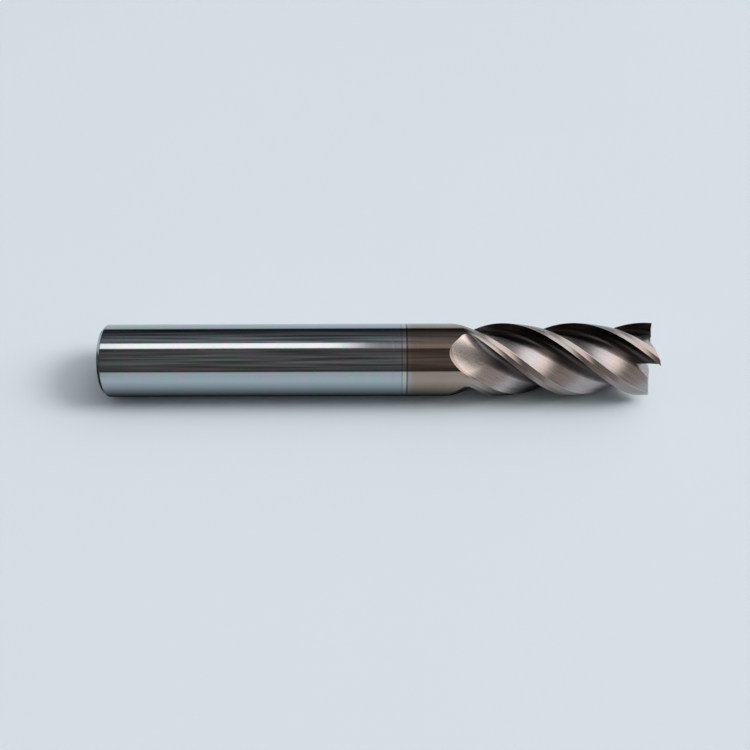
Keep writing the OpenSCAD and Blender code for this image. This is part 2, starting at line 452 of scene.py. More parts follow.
@dataclass
class HelixNodes:
    """Geometry node trees that carry a section or a straight loft along the right-hand helix."""

    helix: Helix
    trees: dict[SweepKind, Tree] = field(default_factory=dict)

    def _turned(self, graph: Graph, given: Node, point: Socket, x: Socket) -> Socket:
        """A place turned about the axis by the helix's angle at its station."""
        ahead = graph.math("SUBTRACT", x, given.outputs["Tip Station"])
        turns = graph.math("DIVIDE", ahead, given.outputs["Lead"])
        return graph.turned(point, graph.math("MULTIPLY_ADD", turns, math.tau, given.outputs["Tip Turn"]))

    def tree(self, kind: SweepKind) -> Tree:
        """Build a tree once, with named inputs.

        Args:
            kind: sweep of one section, or turn of a loft.

        Returns:
            The tree.
        """
        if kind in self.trees:
            return self.trees[kind]
        inputs = {
            "Geometry": GEOMETRY,
            "Start": 0.0,
            "End": 1.0,
            "Sections": 10,
            "Lead": 1.0,
            "Tip Station": 0.0,
            "Tip Turn": 0.0,
            "Material": "NodeSocketMaterial",
        }
        graph, given, result = group_tree(
            f"helix_{kind.name.lower()}", inputs, {"Geometry": GEOMETRY}, "GeometryNodeTree"
        )
        if kind is SweepKind.SECTION:
            mesh, place = self._section_grid(graph, given)
        else:
            mesh = given.outputs["Geometry"]
            point = graph.add("GeometryNodeInputPosition").outputs[0]
            place = self._turned(graph, given, point, graph.parts(point)[0])
        moved = graph.add("GeometryNodeSetPosition", {"Geometry": mesh, "Position": place}).outputs[0]
        if kind is SweepKind.SECTION:
            moved = graph.add("GeometryNodeMergeByDistance", {"Geometry": moved, "Distance": MICRON}).outputs[0]
        real = graph.add("GeometryNodeRealizeInstances", {"Geometry": moved}).outputs[0]
        dress = {"Geometry": real, "Material": given.outputs["Material"]}
        dressed = graph.add("GeometryNodeSetMaterial", dress)
        self.trees[kind] = graph.give(result, dressed.outputs[0])
        return self.trees[kind]

    def _section_grid(self, graph: Graph, given: Node) -> tuple[Socket, Socket]:
        """Grid of sections by points, and the place of each of its points on the helix."""
        section, start, rows = (given.outputs[name] for name in ("Geometry", "Start", "Sections"))
        size = graph.add("GeometryNodeAttributeDomainSize", {"Geometry": section}).outputs["Point Count"]
        columns = graph.math("ADD", size, 1.0)
        grid = graph.add("GeometryNodeMeshGrid", {"Vertices X": rows, "Vertices Y": columns}).outputs["Mesh"]
        index = graph.add("GeometryNodeInputIndex").outputs[0]
        row = graph.math("FLOOR", graph.math("DIVIDE", graph.math("ADD", index, 0.5), columns))
        column = graph.math("SUBTRACT", index, graph.product(row, columns))
        wrapped = graph.math("FLOORED_MODULO", graph.math("ROUND", column), size)
        sample = graph.add("GeometryNodeSampleIndex", {"Geometry": section}, data_type="FLOAT_VECTOR")
        value = next(s for s in sample.inputs if s.name == "Value" and s.enabled)
        graph.feed(value, graph.add("GeometryNodeInputPosition").outputs[0])
        graph.feed(sample.inputs["Index"], wrapped)
        point = next(s for s in sample.outputs if s.enabled)
        share = graph.math("DIVIDE", row, graph.math("SUBTRACT", rows, 1.0))
        x = graph.math("MULTIPLY_ADD", share, graph.math("SUBTRACT", given.outputs["End"], start), start)
        station = graph.add("ShaderNodeCombineXYZ", {0: x}).outputs[0]
        return grid, self._turned(graph, given, graph.vector("ADD", point, station), x)

    def apply(
        self,
        source: bpy.types.Mesh,
        kind: SweepKind,
        name: str,
        material: bpy.types.Material,
        turn: float = 0.0,
        span: tuple[float, float] = (0.0, 0.0),
        sections: int = 2,
    ) -> bpy.types.Mesh:
        """Run a tree on a mesh and take the result as a plain mesh.

        Args:
            source: the section or the straight loft.
            kind: which tree to run.
            name: name of the resulting mesh.
            material: its finish.
            turn: angle of this piece behind the first tooth.
            span: first and last station of a swept section.
            sections: number of sections of a sweep.

        Returns:
            The evaluated mesh.
        """
        carrier = bpy.data.objects.new(name + "_carrier", source)
        bpy.context.scene.collection.objects.link(carrier)
        modifier = carrier.modifiers.new("helix", "NODES")
        modifier.node_group = self.tree(kind)
        values = {
            "Start": span[0],
            "End": span[1],
            "Sections": sections,
            "Lead": self.helix.lead,
            "Tip Station": self.helix.tip,
            "Tip Turn": self.helix.tip_turn + turn,
            "Material": material,
        }
        for item in modifier.node_group.interface.items_tree:
            if item.in_out == "INPUT" and item.name in values:
                modifier[item.identifier] = values[item.name]
        depsgraph = bpy.context.evaluated_depsgraph_get()
        mesh = bpy.data.meshes.new_from_object(carrier.evaluated_get(depsgraph))
        mesh.name = name
        bpy.data.objects.remove(carrier)
        return mesh


# ---------------------------------------------------------------- mesh helpers


def mesh_from(name: str, points: Sequence[Vector], faces: Sequence[Sequence[int]]) -> bpy.types.Mesh:
    """Plain mesh from points and faces."""
    mesh = bpy.data.meshes.new(name)
    mesh.from_pydata([tuple(p) for p in points], [], [tuple(f) for f in faces])
    mesh.update()
    return mesh


def ring_faces(rows: int, count: int) -> list[list[int]]:
    """Faces between neighbouring rings of points.

    Args:
        rows: number of rings.
        count: number of points of each ring.

    Returns:
        The faces, row by row.
    """
    faces = []
    for start in range(0, (rows - 1) * count, count):
        for i in range(count):
            j = (i + 1) % count
            faces.append([start + i, start + j, start + count + j, start + count + i])
    return faces


def section_mesh(name: str, ring: Ring) -> bpy.types.Mesh:
    """Points of a section at station zero, in their order."""
    return mesh_from(name, [Vector((0, p.real, p.imag)) for p in ring], [])


def close_and_orient(mesh: bpy.types.Mesh, sharp_angle: float) -> None:
    """Cap a swept mesh, turn its faces outwards and mark its sharp edges.

    Args:
        mesh: the open sweep, changed in place.
        sharp_angle: angle between faces from which an edge is sharp.
    """
    shape = bmesh.new()
    shape.from_mesh(mesh)
    borders = [edge for edge in shape.edges if edge.is_boundary]
    if borders:
        bmesh.ops.holes_fill(shape, edges=borders, sides=0)
    bmesh.ops.recalc_face_normals(shape, faces=shape.faces)
    for face in shape.faces:
        face.smooth = True
    shape.to_mesh(mesh)
    shape.free()
    mesh.set_sharp_from_angle(angle=sharp_angle)


def piece_from(mesh: bpy.types.Mesh, name: str, material: bpy.types.Material) -> bpy.types.Object:
    """Object at the origin for a finished mesh, with its finish.

    Args:
        mesh: the mesh, already in place.
        name: the piece's name.
        material: its finish.

    Returns:
        The linked object.
    """
    mesh.materials.clear()
    mesh.materials.append(material)
    piece = bpy.data.objects.new(name, mesh)
    bpy.context.scene.collection.objects.link(piece)
    return piece


def cut_with(piece: bpy.types.Object, cutters: Sequence[bpy.types.Object], sharp_angle: float) -> None:
    """Subtract cutters from a piece and keep the result as its plain mesh.

    Args:
        piece: the piece to cut.
        cutters: closed meshes to take away.
        sharp_angle: angle between faces from which an edge is sharp.
    """
    for cutter in cutters:
        modifier = piece.modifiers.new("grind", "BOOLEAN")
        modifier.operation = "DIFFERENCE"
        modifier.solver = "MANIFOLD"
        modifier.object = cutter
    depsgraph = bpy.context.evaluated_depsgraph_get()
    mesh = bpy.data.meshes.new_from_object(piece.evaluated_get(depsgraph))
    piece.modifiers.clear()
    old = piece.data
    mesh.name = old.name
    material = old.materials[0]
    piece.data = mesh
    bpy.data.meshes.remove(old)
    shape = bmesh.new()
    shape.from_mesh(mesh)
    bmesh.ops.remove_doubles(shape, verts=shape.verts, dist=0.5 * MICRON)
    shape.to_mesh(mesh)
    shape.free()
    mesh.materials.clear()
    mesh.materials.append(material)
    mesh.set_sharp_from_angle(angle=sharp_angle)


# ---------------------------------------------------------------- finishes


class Groups:
    """Shader node groups that more than one finish uses, each built once."""

    # Where the tooth's back is folded, in pitches ahead of the cutting edge
    FOLD = -0.12

    def __init__(self, helix: Helix, section: ToothSection) -> None:
        """Keep the geometry that the groups follow."""
        self.helix = helix
        self.section = section
        self.made: dict[str, Tree] = {}

    def place(self, graph: Graph, name: str, inputs: dict[str, object]) -> Sequence[Socket]:
        """Place one of the groups in a material.

        Args:
            graph: the material's tree.
            name: name of the method of this class that builds the group.
            inputs: values or sockets for the group's inputs.

        Returns:
            The group node's outputs.
        """
        if name not in self.made:
            self.made[name] = getattr(self, name)()
        return graph.add("ShaderNodeGroup", inputs, node_tree=self.made[name]).outputs

    def straightened(self) -> Tree:
        """Group that undoes the helix, and folds the teeth onto the first one."""
        inputs = {
            "Vector": VECTOR,
            "Lead": self.helix.lead,
            "Station": self.helix.tip,
            "Turn": self.helix.tip_turn,
            "Pitch": self.section.pitch,
        }
        graph, given, result = group_tree("straightened", inputs, {"Straight": VECTOR, "Folded": VECTOR})
        place, pitch = given.outputs["Vector"], given.outputs["Pitch"]
        ahead = graph.math("SUBTRACT", graph.parts(place)[0], given.outputs["Station"])
        turns = graph.math("DIVIDE", ahead, given.outputs["Lead"])
        angle = graph.math("MULTIPLY_ADD", turns, math.tau, given.outputs["Turn"])
        straight = graph.turned(place, graph.product(angle, -1.0))
        _, y, z = graph.parts(straight)
        heading = graph.math("SUBTRACT", graph.math("ARCTAN2", z, y), self.FOLD * self.section.pitch)
        tooth = graph.math("ROUND", graph.math("DIVIDE", heading, pitch))
        return graph.give(result, straight, graph.turned(straight, graph.product(tooth, pitch, -1.0)))

    def ground_lines(self) -> Tree:
        """Group of fine parallel grinding lines and a few deeper scratches among them."""
        graph, given, result = group_tree(
            "ground_lines", {"Vector": VECTOR, "Scale": VECTOR}, {"Lines": FLOAT, "Scratches": FLOAT}
        )
        stretched = graph.vector("MULTIPLY", given.outputs["Vector"], given.outputs["Scale"])
        lines = graph.noise(stretched, 1.0, 4.0, Roughness=0.7)[0]
        coarse = graph.noise(stretched, 0.37, 1.0)[0]
        return graph.give(result, lines, graph.smoothstep(coarse, 0.66, 0.72))

    def painted_edge_glint(self) -> Tree:
        """Group that marks the close neighbourhood of a helical edge for a painted glint, broken up along it.
        """
        inputs = {"Folded": VECTOR, "Edge": VECTOR, "Width": 0.05 * MM, "Breakup": 0.5}
        graph, given, result = group_tree("painted_edge_glint", inputs, {"Mask": FLOAT})
        folded, breakup = given.outputs["Folded"], given.outputs["Breakup"]
        flat = graph.vector("MULTIPLY", folded, (0, 1, 1))
        away = graph.vector("DISTANCE", flat, given.outputs["Edge"], output="Value")
        near = graph.inverse(graph.math("DIVIDE", away, given.outputs["Width"]))
        near = graph.math("MAXIMUM", near, 0.0)
        broken = graph.smoothstep(graph.noise(folded, 2500.0)[0], 0.35, 0.6)
        kept = graph.math("MULTIPLY_ADD", broken, breakup, graph.inverse(breakup))
        return graph.give(result, graph.product(near, kept))

    def land(self) -> Tree:
        """Group that marks the two relief faces of a tooth."""
        graph, given, result = group_tree("land", {"Folded": VECTOR, "Depth": 0.03 * MM}, {"Mask": FLOAT})
        faces = (
            (self.section.edge, self.section.primary_relief),
            (self.section.primary_end, self.section.secondary_relief),
        )
        marks = []
        for point, relief in faces:
            normal = unit(-relief)
            offset = point.real * normal.real + point.imag * normal.imag
            axis = (0, normal.real, normal.imag)
            dot = graph.vector("DOT_PRODUCT", given.outputs["Folded"], axis, output="Value")
            height = graph.math("DIVIDE", graph.math("SUBTRACT", dot, offset), given.outputs["Depth"])
            marks.append(graph.smoothstep(height, -1.0, -0.5))
        return graph.give(result, graph.math("MAXIMUM", *marks))

    def hook(self) -> Tree:
        """Group that marks the rake face and the hook at its foot, where painted shade goes, and fades out over
        the run-out.
        """
        inputs = {"Folded": VECTOR, "Fade": 0.9 * MM, "Begin": 0.0, "Full": 1.0}
        graph, given, result = group_tree("hook", inputs, {"Mask": FLOAT})
        folded = given.outputs["Folded"]
        flat = graph.vector("MULTIPLY", folded, (0, 1, 1))
        centre = (0, self.section.hook_centre.real, self.section.hook_centre.imag)
        away = graph.vector("DISTANCE", flat, centre, output="Value")
        away = graph.math("SUBTRACT", away, self.section.hook_radius)
        out = graph.math("DIVIDE", away, given.outputs["Fade"])
        wander = graph.noise(folded, 900.0)[0]
        out = graph.math("ADD", out, graph.math("MULTIPLY_ADD", wander, 0.4, -0.2))
        close = graph.inverse(graph.smoothstep(out, 0.15, 1.0))
        run = graph.smoothstep(graph.parts(folded)[0], given.outputs["Begin"], given.outputs["Full"])
        return graph.give(result, graph.product(close, run))

    def handling(self) -> Tree:
        """Group of soft cloudy patches, as left by handling and by uneven polish."""
        graph, given, result = group_tree("handling", {"Vector": VECTOR, "Size": 3 * MM}, {"Patches": FLOAT})
        frequency = graph.math("DIVIDE", 1.0, given.outputs["Size"])
        clouds = graph.noise(given.outputs["Vector"], frequency, 3.0, Distortion=0.6)[0]
        return graph.give(result, graph.smoothstep(clouds, 0.3, 0.7))


@dataclass(frozen=True)
class Finish:
    """What every metal finish of the tool has."""

    name: str
    colour: Colour
    roughness: float

    def start(self) -> tuple[bpy.types.Material, Graph, Node, Socket]:
        """Start the finish's material.

        Returns:
            The material, its graph, its metal shader and the object coordinates.
        """
        material = bpy.data.materials.new(self.name)
        material.use_nodes = True
        graph = Graph(material.node_tree)
        metal = graph.add("ShaderNodeBsdfPrincipled", {"Metallic": 1.0, "Roughness": self.roughness})
        graph.add("ShaderNodeOutputMaterial", {0: metal.outputs[0]})
        return material, graph, metal, graph.add("ShaderNodeTexCoord").outputs["Object"]

    def dress(
        self, graph: Graph, metal: Node, colour: Socket, roughness: Socket, height: Socket, relief: float
    ) -> None:
        """Feed colour, roughness and bump to the metal shader.

        Args:
            graph: the material's graph.
            metal: its metal shader.
            colour: socket of the base colour.
            roughness: socket of the roughness.
            height: socket of the surface's height, 0 to 1.
            relief: depth of that height.
        """
        bump = graph.add("ShaderNodeBump", {"Strength": 1.0, "Distance": relief, "Height": height})
        graph.feed(metal.inputs["Base Color"], colour)
        graph.feed(metal.inputs["Roughness"], roughness)
        graph.feed(metal.inputs["Normal"], bump.outputs[0])


def scaled(colour: Colour, factor: float) -> Colour:
    """Colour made lighter or darker."""
    return tuple(min(1.0, c * factor) for c in colour)


def tinted(colour: Colour, tint: Colour) -> Colour:
    """Colour seen through a tint."""
    return tuple(c * t for c, t in zip(colour, tint))


@dataclass(frozen=True)
class RoundGround(Finish):
    """Mirror-ground cylinder, bare at the back and coated at the front, with the coating's edge between."""

    colour: Colour = (0.425, 0.495, 0.535)
    roughness: float = 0.06
    coating: Colour = (0.385, 0.31, 0.265)
    edge_line: Colour = (0.10, 0.09, 0.09)
    fringe: Colour = (0.56, 0.54, 0.50)
    green: Colour = (0.95, 1.02, 0.98)
    purple: Colour = (1.04, 0.98, 1.03)
    coating_start: float = 41.5 * MM
    reddening: float = 1.0 * MM
    line_width: float = 0.25 * MM
    fringe_gap: float = 0.8 * MM
    end_face_depth: float = 0.02 * MM
    end_face_roughness: float = 0.22
    relief: float = 0.12 * MICRON

    def material(self, groups: Groups) -> bpy.types.Material:
        """Build the finish.

        Args:
            groups: the shared shader groups.

        Returns:
            The material.
        """
        material, graph, metal, place = self.start()
        x = graph.parts(place)[0]
        around = groups.place(graph, "ground_lines", {"Vector": place, "Scale": (14000.0, 260.0, 260.0)})
        across = groups.place(graph, "ground_lines", {"Vector": place, "Scale": (0.0, 500.0, 9000.0)})
        patches = groups.place(graph, "handling", {"Vector": place, "Size": 4 * MM})[0]
        end_face = graph.inverse(graph.smoothstep(x, self.end_face_depth / 2, self.end_face_depth))
        colour = self._coated(graph, x, self._bare(graph, place), patches)
        worn = graph.product(around["Scratches"], 0.12)
        colour = graph.mix(worn, colour, scaled(self.colour, 0.8))
        rough = graph.math("MULTIPLY_ADD", patches, 0.03, self.roughness)
        rough = graph.math("MULTIPLY_ADD", around["Scratches"], 0.06, rough)
        rough = graph.math("MULTIPLY_ADD", end_face, self.end_face_roughness, rough)
        height = graph.blend(end_face, around["Lines"], across["Lines"])
        self.dress(graph, metal, colour, rough, height, self.relief)
        return material

    def _bare(self, graph: Graph, place: Socket) -> Socket:
        """Colour of the bare metal, which drifts a little towards green and purple."""
        drift = graph.smoothstep(graph.noise(place, 420.0)[0], 0.4, 0.6)
        return graph.mix(drift, tinted(self.colour, self.green), tinted(self.colour, self.purple))

    def _coated(self, graph: Graph, x: Socket, bare: Socket, patches: Socket) -> Socket:
        """Colour with the coating over its part, a pale strip and two dark lines at its start.

        Args:
            graph: the material's graph.
            x: socket of the station.
            bare: socket of the bare metal's colour.
            patches: mask of the cloudy patches.

        Returns:
            Socket of the colour.
        """
        start, width, gap = self.coating_start, self.line_width, self.fringe_gap
        thin = graph.mix(patches, scaled(self.coating, 0.95), self.coating)
        pale = graph.mix(0.35, thin, self.colour)
        coat = graph.mix(graph.smoothstep(x, start, start + self.reddening), pale, thin)
        colour = graph.mix(graph.smoothstep(x, start - width, start), bare, coat)
        bands = (
            (start - gap / 2, gap / 2, 0.7, self.fringe),
            (start - gap, width * 0.4, 0.35, self.edge_line),
            (start - width / 2, width / 2, 0.8, self.edge_line),
        )
        for centre, half, strength, tint in bands:
            away = graph.math("ABSOLUTE", graph.math("SUBTRACT", x, centre))
            band = graph.inverse(graph.smoothstep(away, half * 0.5, half * 1.3))
            colour = graph.mix(graph.product(band, strength), colour, tint)
        return colour


@dataclass(frozen=True)
class HelicalGround(Finish):
    """Coated flutes and lands, ground along the helix."""

    colour: Colour = (0.46, 0.41, 0.405)
    roughness: float = 0.29
    land_colour: Colour = (0.315, 0.275, 0.27)
    land_roughness: float = 0.24
    olive: Colour = (0.97, 1.02, 0.95)
    rosy: Colour = (1.05, 0.98, 1.0)
    early_land_colour: Colour = (0.385, 0.33, 0.30)
    early_land_roughness: float = 0.16
    land_from: float = 49.5 * MM
    land_full: float = 56.0 * MM
    rim_colour: Colour = (0.385, 0.31, 0.265)
    rim_roughness: float = 0.07
    rim_depths: tuple[float, float] = (8 * MICRON, 4 * MICRON)
    # Painted light: gain that lightens the flutes over the run-out, back to plain by runout_end.
    runout_painted_light: float = 1.36
    runout_end: float = 58.0 * MM
    # Colour and widths of the painted glint along the cutting edge and the heel.
    edge_glint_colour: Colour = (0.75, 0.70, 0.66)
    edge_width: float = 0.05 * MM
    heel_width: float = 0.07 * MM
    # Where the painted shade over the rake face and the hook begins and is full along the tool, and how strong
    # it is.
    hook_from: float = 49.0 * MM
    hook_full: float = 54.5 * MM
    hook_painted_shade: float = 0.93
    relief: float = 2.2 * MICRON
    has_rim: bool = False

    def material(self, groups: Groups) -> bpy.types.Material:
        """Build the finish.

        Args:
            groups: the shared shader groups.

        Returns:
            The material.
        """
        material, graph, metal, place = self.start()
        straight, folded = groups.place(graph, "straightened", {"Vector": place})
        lines = groups.place(graph, "ground_lines", {"Vector": straight, "Scale": (330.0, 7500.0, 7500.0)})
        fine = groups.place(graph, "ground_lines", {"Vector": straight, "Scale": (900.0, 16000.0, 16000.0)})
        land = groups.place(graph, "land", {"Folded": folded})[0]
        station = graph.parts(place)[0]
        late = graph.smoothstep(station, self.land_from, self.land_full)
        streaks = graph.smoothstep(lines["Lines"], 0.25, 0.75)
        flute = self._flute(graph, groups, straight, lines["Scratches"], streaks)
        # Painted light: flutes lightened over the run-out, fading towards the teeth.
        bright = graph.vector("MULTIPLY", flute, (self.runout_painted_light,) * 3)
        flute = graph.mix(graph.smoothstep(station, self.land_from, self.runout_end), bright, flute)
        # Painted shade: the rake face and the hook at its foot are darkened nearly to black.
        hook_inputs = {"Folded": folded, "Begin": self.hook_from, "Full": self.hook_full}
        hook = graph.product(groups.place(graph, "hook", hook_inputs)[0], self.hook_painted_shade)
        flute = graph.mix(hook, flute, scaled(self.colour, 0.09))
        colour = graph.mix(land, flute, self._land(graph, straight, late))
        early = self.early_land_roughness
        land_rough = graph.math("MULTIPLY_ADD", late, self.land_roughness - early, early)
        rough = graph.math("MULTIPLY_ADD", streaks, 0.10, self.roughness - 0.05)
        rough = graph.blend(land, rough, land_rough)
        coarse = graph.product(lines["Lines"], graph.math("MULTIPLY_ADD", land, -0.4, 1.0))
        height = graph.math("MULTIPLY_ADD", fine["Lines"], 0.25, coarse)
        height = graph.math("MULTIPLY_ADD", lines["Scratches"], -0.5, height)
        if self.has_rim:
            out = graph.vector("LENGTH", graph.vector("MULTIPLY", place, (0, 1, 1)), output="Value")
            rim = graph.smoothstep(out, *(groups.section.radius - depth for depth in self.rim_depths))
            colour = graph.mix(rim, colour, self.rim_colour)
            rough = graph.blend(rim, rough, self.rim_roughness)
            height = graph.product(height, graph.math("MULTIPLY_ADD", rim, -0.95, 1.0))
        else:
            colour = self._edges(graph, groups, folded, colour)
        self.dress(graph, metal, colour, rough, height, self.relief)
        return material

    def _flute(
        self, graph: Graph, groups: Groups, straight: Socket, scratches: Socket, streaks: Socket
    ) -> Socket:
        """Colour of a flute, with grinding streaks, cloudy patches and scratches.

        Args:
            graph: the material's graph.
            groups: the shared shader groups.
            straight: the place with the helix undone.
            scratches: mask of the deeper scratches.
            streaks: mask of the grinding streaks.

        Returns:
            Socket of the colour.
        """
        patches = groups.place(graph, "handling", {"Vector": straight, "Size": 2.2 * MM})[0]
        flute = graph.mix(streaks, scaled(self.colour, 0.74), scaled(self.colour, 1.14))
        flute = graph.mix(graph.product(patches, 0.25), flute, scaled(self.colour, 0.85))
        return graph.mix(graph.product(scratches, 0.35), flute, scaled(self.colour, 0.6))

    def _land(self, graph: Graph, straight: Socket, late: Socket) -> Socket:
        """Colour of the lands, whose film drifts between olive and rosy and clears over the run-out."""
        film = graph.smoothstep(graph.noise(straight, 700.0, 1.0)[0], 0.42, 0.58)
        tint = graph.mix(film, tinted(self.land_colour, self.olive), tinted(self.land_colour, self.rosy))
        return graph.mix(late, self.early_land_colour, tint)

    def _edges(self, graph: Graph, groups: Groups, folded: Socket, colour: Socket) -> Socket:
        """Colour with a painted glint along the cutting edge and the heel."""
        section = groups.section
        marks = []
        for edge, width in ((section.edge, self.edge_width), (section.heel, self.heel_width)):
            inputs = {"Folded": folded, "Edge": (0, edge.real, edge.imag), "Width": width}
            marks.append(groups.place(graph, "painted_edge_glint", inputs)[0])
        # Painted glint along the cutting edge and the heel.
        return graph.mix(graph.product(graph.math("MAXIMUM", *marks), 0.8), colour, self.edge_glint_colour)


@dataclass(frozen=True)
class PaleTable:
    """Plain pale painted surface that the tool lies on, with painted shade that only reflections see: in front
    of the tool, and as a painted dark reflection past its back end.
    """

    colour: Colour = (0.758, 0.815, 0.852)
    # Dark colour of the painted shade that reflections see on the table, how far it reaches in front of the
    # tool, and where it ends along the tool.
    painted_shade: Colour = (0.03, 0.045, 0.05)
    painted_shade_reach: float = 30 * MM
    painted_shade_end: float = 68 * MM
    painted_shade_fade: float = 8 * MM
    # Where the painted dark reflection past the back end begins, how wide it is, and how dark.
    left_from: float = -3 * MM
    left_fade: float = 6 * MM
    left_half: float = 11 * MM
    left_painted_dark: float = 0.9
    roughness: float = 0.6

    def material(self) -> bpy.types.Material:
        """Build the finish.

        Returns:
            The material.
        """
        material = bpy.data.materials.new("pale_table")
        material.use_nodes = True
        graph = Graph(material.node_tree)
        place = graph.add("ShaderNodeTexCoord").outputs["Object"]
        cloud = graph.noise(place, 18.0, 3.0)[0]
        colour = graph.mix(cloud, scaled(self.colour, 0.99), scaled(self.colour, 1.01))
        # Painted shade: only reflections see the table darkened towards a dark colour near the tool.
        reflected = graph.add("ShaderNodeLightPath").outputs["Is Glossy Ray"]
        colour = graph.mix(graph.product(self._shade(graph, place), reflected), colour, self.painted_shade)
        settings = {"Base Color": colour, "Roughness": self.roughness, "Specular IOR Level": 0.2}
        paint = graph.add("ShaderNodeBsdfPrincipled", settings)
        graph.add("ShaderNodeOutputMaterial", {0: paint.outputs[0]})
        return material

    def _shade(self, graph: Graph, place: Socket) -> Socket:
        """Painted shade that the tool's reflections see on the table: in front of it, and as a painted dark
        reflection past its back end.
        """
        x, y, _ = graph.parts(place)
        # Painted contact shade in front of the tool, fading with distance and ending before the end teeth.
        front = graph.math("DIVIDE", graph.product(y, -1.0), self.painted_shade_reach)
        fading = [(0.18, 0.90), (0.26, 0.70), (0.36, 0.45), (0.5, 0.25), (0.75, 0.08), (1.0, 0.0)]
        near = graph.ramp(front, [(0.0, 0.0), (0.01, 1.0), (0.13, 1.0)] + fading)
        ended = graph.smoothstep(x, self.painted_shade_end - self.painted_shade_fade, self.painted_shade_end)
        near = graph.product(near, graph.inverse(ended))
        # Painted dark reflection past the back end, fading out sideways.
        past = graph.inverse(graph.smoothstep(x, self.left_from - self.left_fade, self.left_from))
        sideways = graph.smoothstep(graph.math("ABSOLUTE", y), self.left_half, self.left_half * 1.6)
        past = graph.product(past, graph.math("MULTIPLY_ADD", sideways, -self.left_painted_dark, self.left_painted_dark))
        return graph.math("MAXIMUM", near, past)


# ---------------------------------------------------------------- sub-assemblies


def finished(piece: bpy.types.Object, node: str) -> bpy.types.Object:
    """Let a piece stand for a CAD node on the tool's one body.

    Args:
        piece: the finished piece.
        node: the CAD node that it replaces.

    Returns:
        The piece.
    """
    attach(piece, BODY)
    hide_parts(node)
    LOG.info("%s replaces %s: %d faces", piece.name, node, len(piece.data.polygons))
    return piece


@dataclass
class TurnedBar:
    """The round, unfluted part: chamfered shank, the coating's edge and the coated neck."""

    sizes: ToolSizes
    segments: int = 288
    chamfer_round: float = 0.06 * MM
    round_facets: int = 6

    def shank_profile(self) -> list[tuple[float, float]]:
        """Outline of the shank as (station, radius), with both edges of the chamfer rounded.

        Returns:
            The outline from the back face to the front.
        """
        size = self.sizes
        inner = complex(size.back, size.radius - size.back_chamfer)
        outer = complex(size.back + size.back_chamfer, size.radius)
        along = (outer - inner) / abs(outer - inner)
        outline: list[complex] = []
        for corner, before, after in ((inner, -1j, along), (outer, -along, complex(1, 0))):
            start = corner + before * self.chamfer_round
            end = corner + after * self.chamfer_round
            for i in range(self.round_facets + 1):
                s = i / self.round_facets
                outline.append((1 - s) ** 2 * start + 2 * s * (1 - s) * corner + s**2 * end)
        outline.append(complex(size.edge_start, size.radius))
        return [(p.real, p.imag) for p in outline]

    def lathe(self, name: str, profile: Sequence[tuple[float, float]]) -> bpy.types.Mesh:
        """Turn an outline about the X axis into a closed mesh.

        Args:
            name: the mesh's name.
            profile: (station, radius) points from back to front.

        Returns:
            The mesh, closed by a flat face at each end.
        """
        count = self.segments
        points = [
            Vector((x, r * math.cos(math.tau * i / count), r * math.sin(math.tau * i / count)))
            for x, r in profile
            for i in range(count)
        ]
        faces = ring_faces(len(profile), count)
        faces.append(list(range(count)))
        faces.append(list(range((len(profile) - 1) * count, len(profile) * count)))
        mesh = mesh_from(name, points, faces)
        close_and_orient(mesh, math.radians(20))
        return mesh

    def build(self, groups: Groups, finish: RoundGround) -> None:
        """Make the three round pieces.

        Args:
            groups: the shared shader groups.
            finish: the bare and coated round finish.
        """
        size = self.sizes
        material = finish.material(groups)
        fade = [(size.edge_start, size.radius), (size.coating_start, size.radius)]
        neck = [(size.coating_start, size.radius), (size.runout_node_start, size.radius)]
        parts = (
            ("ground_shank", "shank", Slot.GROUND, self.shank_profile()),
            ("coating_fade", "coating_edge", Slot.COATING_EDGE, fade),
            ("coated_neck", "neck", Slot.COATED, neck),
        )
        for name, node, slot, profile in parts:
            finished(piece_from(self.lathe(name, profile), name, material), node)


